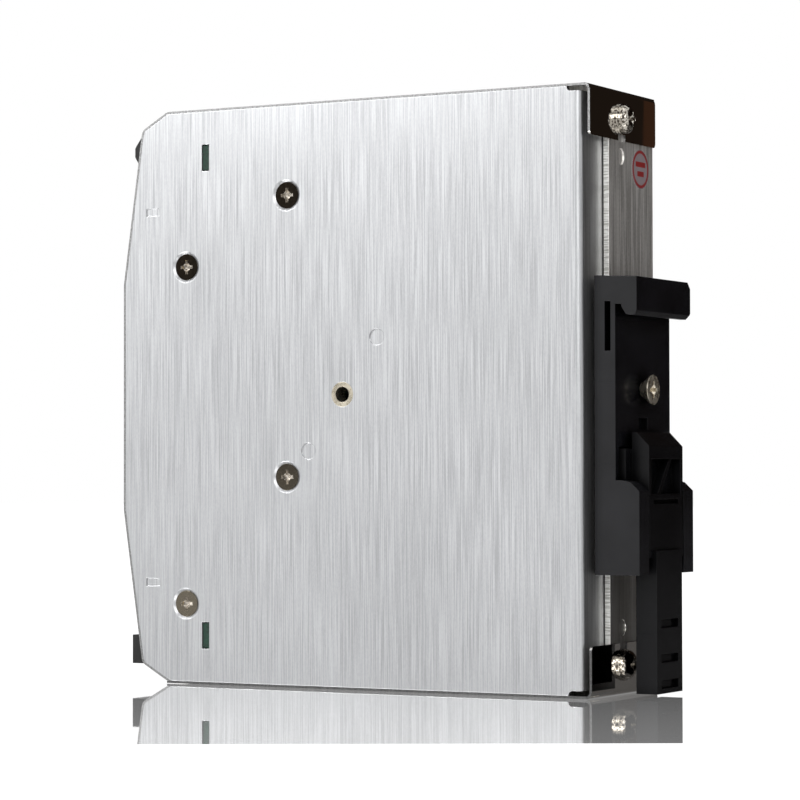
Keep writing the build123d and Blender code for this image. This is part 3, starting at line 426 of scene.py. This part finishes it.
millFinish = {
    "tone": (0.62, 0.62, 0.63), "darker": (0.50, 0.50, 0.51), "lines": 1500.0, "stretch": 0.01,
    "metallic": 0.95, "rough": (0.34, 0.48), "relief": (0.00002, 0.4),
}


def drawnMetal(name, look):
    f = Finish(name)
    lines = f.noise(look["lines"], (1, 1, look["stretch"]), 2)
    return f.surface(Base_Color=f.mottle(lines, look["darker"], look["tone"]),
                     Metallic=look["metallic"], Roughness=f.spread(lines, *look["rough"]),
                     Normal=f.bump(lines, look["relief"]))


sticker = {
    "centre": (-0.0092, 0.1096), "ring": (0.0034, 0.0040),
    # bars: height above the centre, half thickness, half width
    "bars": ((0.0010, 0.00055, 0.0024), (-0.0010, 0.00055, 0.0016)),
    "red": (0.15, 0.012, 0.012), "fill": (0.150, 0.122, 0.128),
    "fibres": 3000.0, "bleed": 0.0001, "rough": (0.38, 0.52), "shine": 0.15, "relief": (0.00001, 0.4),
}


# Round check label: a red ring and two plain bars
def checkLabel(name, look):
    f = Finish(name)
    x, _, z = f.axes(f.place())
    dx, dz = x - look["centre"][0], z - look["centre"][1]
    reach = f.add("ShaderNodeMath", {"operation": "SQRT"}, {0: dx * dx + dz * dz})
    fibre = f.noise(look["fibres"])
    edge = reach + fibre * look["bleed"]
    mark = (edge > look["ring"][0]) * (edge < look["ring"][1])
    for height, thick, wide in look["bars"]:
        mark = mark + (abs(dz - height) < thick) * (abs(dx) < wide)
    mark = f.add("ShaderNodeClamp", None, {0: mark})
    return f.surface(Base_Color=f.blend(mark, look["fill"], look["red"]),
                     Roughness=f.spread(fibre, *look["rough"]), Specular_IOR_Level=look["shine"],
                     Normal=f.bump(fibre, look["relief"]))


lenses = {
    "lampGreen": ((0.03, 0.42, 0.10), 0.3), "clearPipe": ((0.80, 0.88, 0.82), 0.8),    # tone, transmission
    "clouds": 600.0, "shade": 0.85, "rough": (0.06, 0.14), "bending": 1.49,
}


def tintedLens(name, look):
    f = Finish(name)
    tone, through = look[name]
    cloud = f.noise(look["clouds"])
    return f.surface(Base_Color=f.mottle(cloud, tuple(look["shade"] * c for c in tone), tone),
                     Roughness=f.spread(cloud, *look["rough"]), Transmission_Weight=through,
                     IOR=look["bending"])


def dress(nodes, material):
    for node in nodes:
        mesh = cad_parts[node].data
        mesh.materials.clear()
        mesh.materials.append(material)


clampScrews = [f"output_screw_{n}" for n in range(1, 5)] + [f"input_screw_{n}" for n in range(1, 4)]
metalPieces = {
    "clipScrew": ["clip_screw"],
    "clampMetal": ["output_cages", "input_cages"] + clampScrews,
    "brassPosts": ["standoffs", "cover_posts"],
    "insertMetal": ["threaded_insert"],
}
plasticPieces = {
    "clipPlastic": ["clip_base"],
    "latchPlastic": ["clip_latch"],
    "blackMoulding": ["output_terminal", "input_terminal"],
    "epoxyBlack": ["switch_transistor", "output_rectifier", "bridge_rectifier",
                   "controller_chip", "optocoupler"],
    "capacitorSleeve": ["bulk_capacitor", "output_capacitors"],
    "windingTape": ["transformer_winding"],
    "filmCase": ["film_capacitor"],
    "trimmerBlue": ["voltage_trimmer"],
    "shaftWhite": ["trimmer_shaft"],
    "greyPad": ["thermal_pad"],
    "clearFilm": ["insulation_film"],
    "fuseGlass": ["fuse"],
    "ferrite": ["transformer_core"],
}
metals = {name: smallMetal(name, *look) for name, look in smallMetals.items()}
moulded = {name: mouldedPlastic(name, *look) for name, look in plastics.items()}

dress(["side_cover"], brushedMetal("brushedCover", brushed, "cover"))
dress(["chassis"], brushedMetal("brushedChassis", brushed, "chassis"))
dress(["wrap_cover"], platedSheet("brightSteel", plated, plated["wrapEdge"]))
dress(["bottom_plate"], platedSheet("bottomSteel", plated, plated["shadedBottomEdge"]))
dress(["flange_screws", "board_screws", "device_screws"], panHead("panHeads", panScrews))
dress(["cover_screws"], flushHead("flushHeads", flushScrews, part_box("cover_screws")[1][0]))
for name, nodes in metalPieces.items():
    dress(nodes, metals[name])
for name, nodes in plasticPieces.items():
    dress(nodes, moulded[name])
dress(["line_choke", "output_inductor"], woundCopper("copperWindings", windings))
dress(["terminal_board"], circuitBoard("frontBoard", boards, 1))
dress(["main_board"], circuitBoard("mainBoard", boards, 0))
dress(["heatsink"], drawnMetal("millAluminium", millFinish))
dress(["check_sticker"], checkLabel("checkLabel", sticker))
dress(["status_lamp"], tintedLens("lampGreen", lenses))
dress(["light_pipe"], tintedLens("clearPipe", lenses))
print("finishes:", len(bpy.data.materials))


# Coil spring of the latch
spring = {
    "y": 0.05605, "low": 0.02705, "high": 0.04805, "radius": 0.0011, "wire": 0.00022,
    "turns": 11, "closed": 1.2,     # closed turns at each end
    "steps": 28, "sides": 8, "travel": 0.009,
}


def coilPoint(look, turn):
    inner = look["turns"] - 2 * look["closed"]
    room = look["high"] - look["low"] - 2 * look["wire"]
    ends = 2 * look["wire"] * look["closed"]
    if turn < look["closed"]:
        rise = 2 * look["wire"] * turn
    elif turn > look["turns"] - look["closed"]:
        rise = room - 2 * look["wire"] * (look["turns"] - turn)
    else:
        rise = ends + (room - 2 * ends) * (turn - look["closed"]) / inner
    angle = 2 * math.pi * turn
    return Vector((look["radius"] * math.cos(angle), look["y"] + look["radius"] * math.sin(angle),
                   look["low"] + look["wire"] + rise))


def makeSpring(look):
    sides, count = look["sides"], look["turns"] * look["steps"]
    path = [coilPoint(look, n / look["steps"]) for n in range(count + 1)]
    points, faces = [], []
    for n, spot in enumerate(path):
        along = (path[min(n + 1, count)] - path[max(n - 1, 0)]).normalized()
        out = Vector((spot.x, spot.y - look["y"], 0)).normalized()
        up = out.cross(along).normalized()
        for side in range(sides):
            angle = 2 * math.pi * side / sides
            points.append(spot + look["wire"] * (out * math.cos(angle) + up * math.sin(angle)))
    for n in range(count):
        for side in range(sides):
            a, b = n * sides + side, n * sides + (side + 1) % sides
            faces.append((a, b, b + sides, a + sides))
    faces += [tuple(range(sides))[::-1], tuple(range(count * sides, (count + 1) * sides))]
    mesh = bpy.data.meshes.new("coilSpring")
    mesh.from_pydata(points, [], faces)
    mesh.update()
    mesh.shade_smooth()
    mesh.materials.append(metals["springSteel"])
    coil = bpy.data.objects.new("coilSpring", mesh)
    bpy.context.scene.collection.objects.link(coil)
    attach(coil, "case")
    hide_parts("latch_spring")
    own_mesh(coil)


makeSpring(spring)
print("spring made")


# Smooth shading on curved CAD faces
creaseAngle = 28     # degrees
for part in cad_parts.values():
    part.data.shade_smooth()
    part.data.set_sharp_from_angle(angle=math.radians(creaseAngle))


# Studio: a white glossy table that ends ahead of the object, white surroundings, soft lamps
studio = {
    "floor": 6.0, "height": -0.0001, "floorTone": (0.92, 0.92, 0.92), "gloss": 0.02,
    "glow": 0.88, "white": 1.16,                          # share and strength of the white the eye sees
    "along": (0.03, 0.1378), "mirror": (0.91, 0.85),      # way towards the camera, share of mirror there
    "aside": (0.075, 0.110), "behind": (-0.08, -0.04),    # where the mirror fades out for the eye
    "ambient": (0.80, 0.81, 0.83), "ambientLevel": 0.75,
    "lampAim": (0, 0, 0.06), "cardAim": (0, 0, 0.08),
}


def flatSheet(name, width, height, place, facing=None):
    w, h = width / 2, height / 2
    mesh = bpy.data.meshes.new(name)
    mesh.from_pydata([(-w, -h, 0), (w, -h, 0), (w, h, 0), (-w, h, 0)], [], [(0, 1, 2, 3)])
    sheet = bpy.data.objects.new(name, mesh)
    sheet.location = place
    if facing is not None:
        sheet.rotation_euler = (Vector(facing) - Vector(place)).to_track_quat("Z", "Y").to_euler()
    bpy.context.scene.collection.objects.link(sheet)
    return sheet


def makeFloor(look):
    floor = flatSheet("floor", look["floor"], look["floor"], (0, 0, look["height"]))
    f = Finish("paleFloor")
    matt = f.add("ShaderNodeBsdfDiffuse", None, {"Color": look["floorTone"]})
    white = f.add("ShaderNodeEmission", None, {"Color": (1, 1, 1), "Strength": look["white"]})
    mirror = f.add("ShaderNodeBsdfAnisotropic", None, {"Color": (1, 1, 1), "Roughness": look["gloss"]})
    ground = f.add("ShaderNodeMixShader", None, {0: f.seenDirectly() * look["glow"], 1: matt, 2: white})

    heading = math.radians(view["heading"])
    x, y, _ = f.axes(f.place())
    way = x * math.cos(heading) + y * math.sin(heading)
    side = abs(y * math.cos(heading) - x * math.sin(heading))
    near = f.spread(side, 1.0, 0.0, *look["aside"]) * f.spread(way, 0.0, 1.0, *look["behind"])
    camera = f.add("ShaderNodeLightPath", out="Is Camera Ray")
    share = f.spread(way, *look["mirror"], *look["along"]) * (way < look["along"][1])
    share = share * (1 - camera * (1 - near))
    surface = f.add("ShaderNodeMixShader", None, {0: share, 1: ground, 2: mirror})
    f.add("ShaderNodeOutputMaterial", None, {"Surface": surface})
    floor.data.materials.append(f.material)


# White to the eye and in reflections, a calmer level for plain light
def makeWorld(look):
    world = bpy.data.worlds.new("studio")
    bpy.context.scene.world = world
    world.use_nodes = True
    f = Finish("studio", world.node_tree)
    ambient = {"Color": look["ambient"], "Strength": look["ambientLevel"]}
    plain = f.add("ShaderNodeBackground", None, ambient)
    white = f.add("ShaderNodeBackground", None, {"Color": (1, 1, 1), "Strength": 1.0})
    surroundings = f.add("ShaderNodeMixShader", None, {0: f.seenDirectly(), 1: plain, 2: white})
    f.add("ShaderNodeOutputWorld", None, {"Surface": surroundings})


# Soft lamps: place, size, watts
lamps = {
    "sideSoftbox": ((0.77, -0.60, 0.58), (0.50, 0.36), 9.0),
    "topSoftbox": ((0.10, 0.10, 0.95), (0.80, 0.80), 2.4),
    "rearFill": ((0.25, 0.95, 0.55), (0.40, 0.40), 1.0),
    "cornerSoftbox": ((0.82, 0.42, 0.44), (0.66, 0.40), 4.2),
}


def makeLamp(name, place, size, watts):
    data = bpy.data.lights.new(name, "AREA")
    data.shape, data.size, data.size_y, data.energy = "RECTANGLE", size[0], size[1], watts
    lamp = bpy.data.objects.new(name, data)
    lamp.location = place
    lamp.rotation_euler = (Vector(place) - Vector(studio["lampAim"])).to_track_quat("Z", "Y").to_euler()
    bpy.context.scene.collection.objects.link(lamp)


# Dark cards seen only in reflections: place, size, tone
cards = {
    "rearCard": ((-0.61, 0.34, 0.27), (1.10, 0.60), (0.016, 0.011, 0.008)),
    "upperCard": ((-0.72, -0.10, 0.62), (0.90, 0.60), (0.016, 0.013, 0.011)),
    "sheenCard": ((-0.288, 0.171, 0.150), (0.016, 0.06), (0.048, 0.022, 0.012)),    # for the upper flange
}


def makeCard(name, place, size, tone):
    card = flatSheet(name, *size, place, studio["cardAim"])
    card.visible_camera = card.visible_diffuse = card.visible_shadow = card.visible_transmission = False
    f = Finish(name)
    glow = f.add("ShaderNodeEmission", None, {"Color": tone, "Strength": 1.0})
    f.add("ShaderNodeOutputMaterial", None, {"Surface": glow})
    card.data.materials.append(f.material)


makeFloor(studio)
makeWorld(studio)
for name, values in lamps.items():
    makeLamp(name, *values)
for name, values in cards.items():
    makeCard(name, *values)
bpy.context.scene.view_settings.view_transform = "Standard"
print("studio made")
